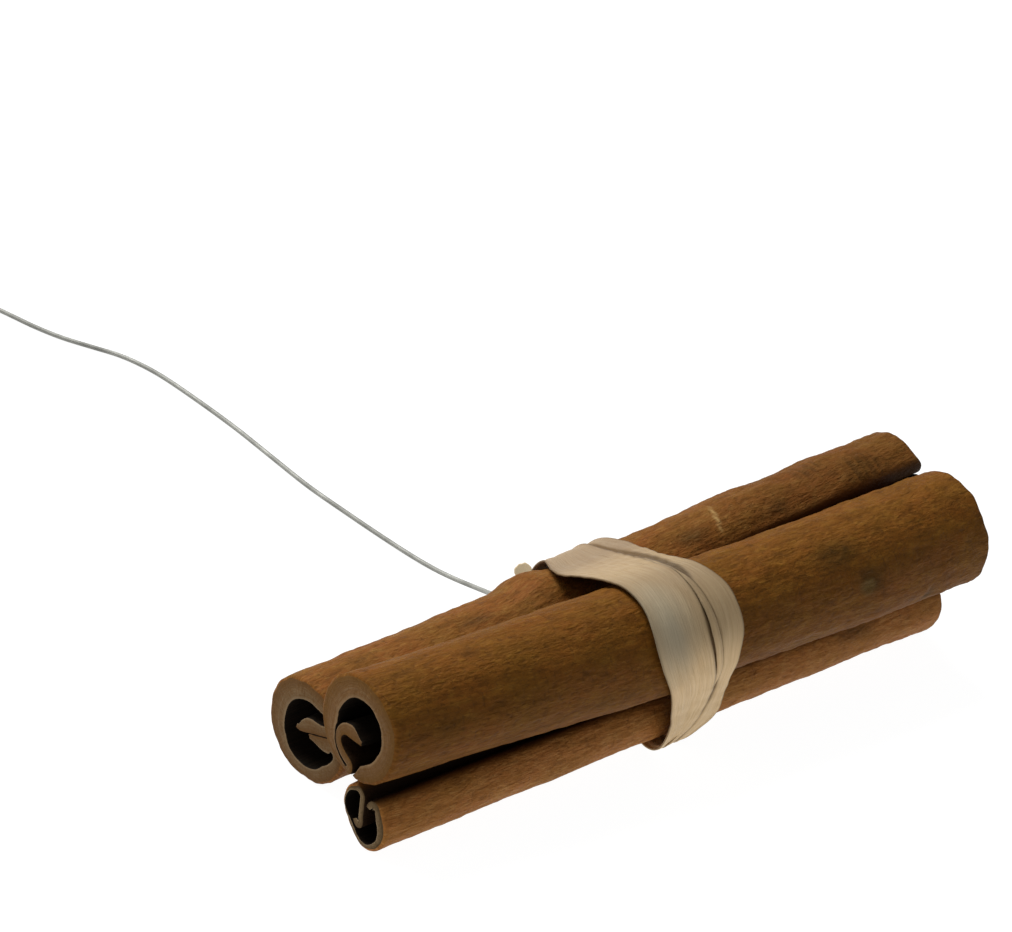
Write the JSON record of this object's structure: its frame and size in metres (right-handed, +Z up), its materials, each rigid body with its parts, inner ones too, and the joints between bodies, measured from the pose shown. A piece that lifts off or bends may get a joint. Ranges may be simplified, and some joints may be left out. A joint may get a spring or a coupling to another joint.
{
  "type": "cinnamon stick bundle",
  "caption": "Rolled cinnamon quills lying together, tied round the middle with flat raffia, with a thin stem wire behind.",
  "frame": {"origin": "middle of the bundle's box, without the stem wire, on the surface that it rests on", "axes": "+X along the quills from the near end to the far end, +Z up, -Y towards the front quill"},
  "size_m": [0.0834, 0.1145, 0.0197],
  "materials": {
    "cinnamon_bark": "matt dried bark with fine lengthwise grain",
    "raffia": "satin flat leaf fibre",
    "stem_wire": "dull grey wire"
  },
  "bodies": {
    "root": {"stick_front": "cinnamon_bark", "stick_back": "cinnamon_bark", "stick_lower": "cinnamon_bark", "raffia_tie": "raffia", "stem_wire": "stem_wire"}
  },
  "joints": []
}
